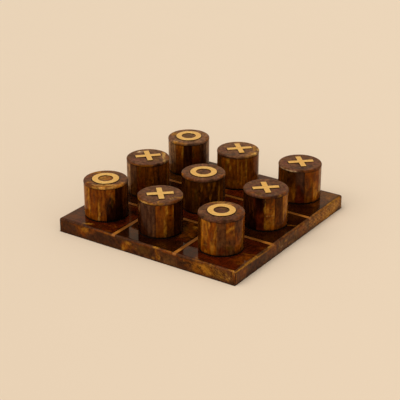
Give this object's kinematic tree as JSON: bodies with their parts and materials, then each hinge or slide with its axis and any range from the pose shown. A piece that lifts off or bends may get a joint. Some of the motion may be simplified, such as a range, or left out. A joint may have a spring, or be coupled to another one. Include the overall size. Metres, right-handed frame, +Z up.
{
  "type": "tic-tac-toe board",
  "caption": "Square horn-veneered tic-tac-toe board with brass strips between its cells and round horn-clad playing pieces, each with a brass ring or cross set in its top.",
  "frame": {"origin": "middle of the board's underside, on the table", "axes": "+Z up, X and Y along the board's sides, -Y to the front side"},
  "size_m": [0.2, 0.2, 0.0512],
  "materials": {
    "core_wood": "sawn",
    "board_horn": "mirror lacquered horn",
    "side_horn": "polished mottled horn",
    "strip_brass": "polished and lacquered",
    "stave_horn": "polished horn",
    "cap_horn": "satin horn",
    "mark_brass": "brushed and polished",
    "foot_felt": "black felt",
    "base_felt": "dark brown felt"
  },
  "bodies": {
    "board": {"board_core": "core_wood", "front_row_tiles": "board_horn", "middle_row_tiles": "board_horn", "back_row_tiles": "board_horn", "front_band": "side_horn", "back_band": "side_horn", "left_band": "side_horn", "right_band": "side_horn", "front_strip": "strip_brass", "back_strip": "strip_brass", "left_strip": "strip_brass", "right_strip": "strip_brass", "base_felt": "base_felt"},
    "front_left_piece": {"front_left_wood": "core_wood", "front_left_staves": "stave_horn", "front_left_cap": "cap_horn", "front_left_ring": "mark_brass", "front_left_foot": "foot_felt"},
    "front_middle_piece": {"front_middle_wood": "core_wood", "front_middle_staves": "stave_horn", "front_middle_cap": "cap_horn", "front_middle_cross": "mark_brass", "front_middle_foot": "foot_felt"},
    "front_right_piece": {"front_right_wood": "core_wood", "front_right_staves": "stave_horn", "front_right_cap": "cap_horn", "front_right_ring": "mark_brass", "front_right_foot": "foot_felt"},
    "middle_left_piece": {"middle_left_wood": "core_wood", "middle_left_staves": "stave_horn", "middle_left_cap": "cap_horn", "middle_left_cross": "mark_brass", "middle_left_foot": "foot_felt"},
    "centre_piece": {"centre_wood": "core_wood", "centre_staves": "stave_horn", "centre_cap": "cap_horn", "centre_ring": "mark_brass", "centre_foot": "foot_felt"},
    "middle_right_piece": {"middle_right_wood": "core_wood", "middle_right_staves": "stave_horn", "middle_right_cap": "cap_horn", "middle_right_cross": "mark_brass", "middle_right_foot": "foot_felt"},
    "back_left_piece": {"back_left_wood": "core_wood", "back_left_staves": "stave_horn", "back_left_cap": "cap_horn", "back_left_ring": "mark_brass", "back_left_foot": "foot_felt"},
    "back_middle_piece": {"back_middle_wood": "core_wood", "back_middle_staves": "stave_horn", "back_middle_cap": "cap_horn", "back_middle_cross": "mark_brass", "back_middle_foot": "foot_felt"},
    "back_right_piece": {"back_right_wood": "core_wood", "back_right_staves": "stave_horn", "back_right_cap": "cap_horn", "back_right_cross": "mark_brass", "back_right_foot": "foot_felt"}
  },
  "joints": [
    {"name": "front_left_lift", "type": "slide", "parent": "board", "child": "front_left_piece", "axis": [0, 0, 1], "range_m": [0, 0.06]},
    {"name": "front_middle_lift", "type": "slide", "parent": "board", "child": "front_middle_piece", "axis": [0, 0, 1], "range_m": [0, 0.06]},
    {"name": "front_right_lift", "type": "slide", "parent": "board", "child": "front_right_piece", "axis": [0, 0, 1], "range_m": [0, 0.06]},
    {"name": "middle_left_lift", "type": "slide", "parent": "board", "child": "middle_left_piece", "axis": [0, 0, 1], "range_m": [0, 0.06]},
    {"name": "centre_lift", "type": "slide", "parent": "board", "child": "centre_piece", "axis": [0, 0, 1], "range_m": [0, 0.06]},
    {"name": "middle_right_lift", "type": "slide", "parent": "board", "child": "middle_right_piece", "axis": [0, 0, 1], "range_m": [0, 0.06]},
    {"name": "back_left_lift", "type": "slide", "parent": "board", "child": "back_left_piece", "axis": [0, 0, 1], "range_m": [0, 0.06]},
    {"name": "back_middle_lift", "type": "slide", "parent": "board", "child": "back_middle_piece", "axis": [0, 0, 1], "range_m": [0, 0.06]},
    {"name": "back_right_lift", "type": "slide", "parent": "board", "child": "back_right_piece", "axis": [0, 0, 1], "range_m": [0, 0.06]}
  ]
}
